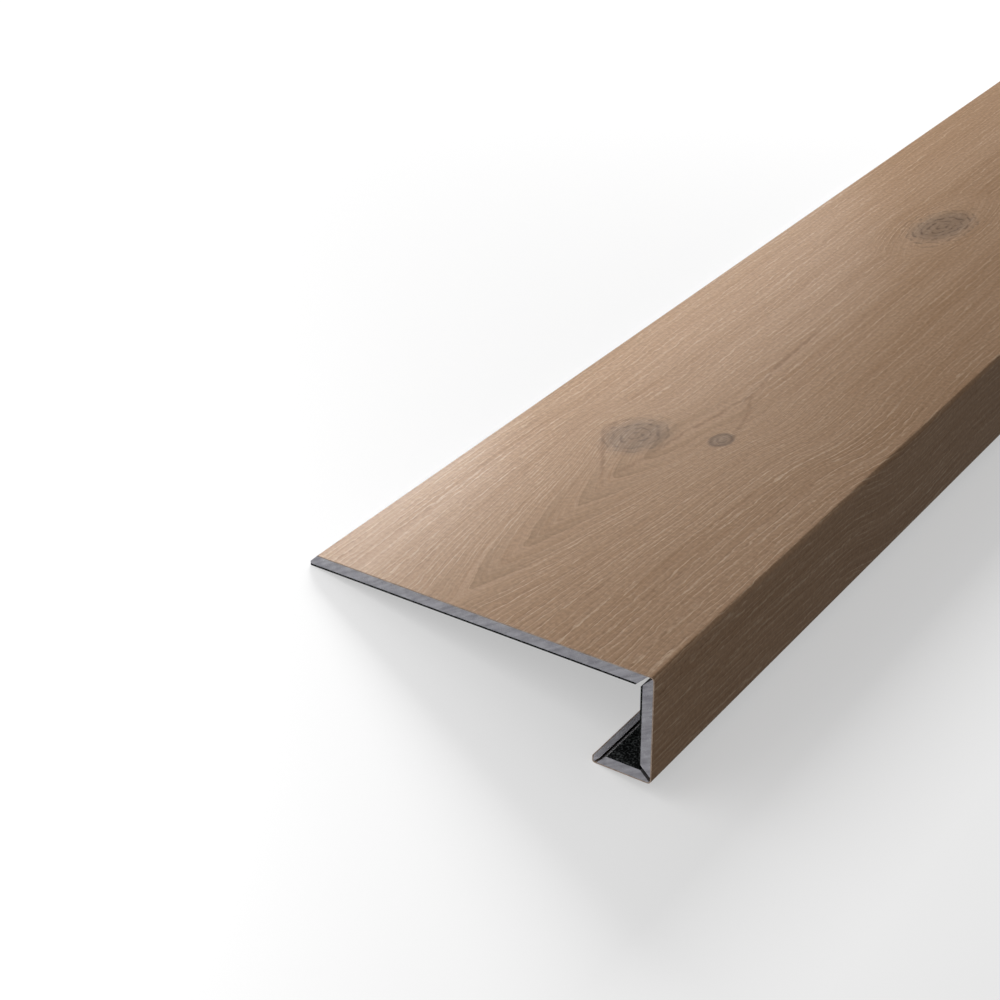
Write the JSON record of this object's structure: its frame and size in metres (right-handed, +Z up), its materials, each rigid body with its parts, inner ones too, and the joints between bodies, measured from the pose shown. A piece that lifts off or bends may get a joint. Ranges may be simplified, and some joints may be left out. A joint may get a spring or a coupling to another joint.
{
  "type": "square stair nosing",
  "caption": "Square stair nosing folded from wood-look rigid vinyl plank, with a tread leg, an upright front and a lip that returns under the edge of the stair.",
  "frame": {"origin": "centre of the base of the bounding box, on the floor that the nosing rests on", "axes": "+X along the length, +Y from the front of the nosing towards the back of its tread, +Z up"},
  "size_m": [1.22, 0.1592, 0.0512],
  "materials": {
    "printed_film": "matt embossed vinyl printed with oak grain",
    "stone_plastic_core": "sawn grey stone-plastic composite",
    "foam_pad": "black closed-cell foam"
  },
  "bodies": {
    "root": {"decor_film": "printed_film", "tread_board": "stone_plastic_core", "front_board": "stone_plastic_core", "lip_board": "stone_plastic_core", "return_strip": "stone_plastic_core", "tread_pad": "foam_pad", "front_pad": "foam_pad", "lip_pad": "foam_pad"}
  },
  "joints": []
}
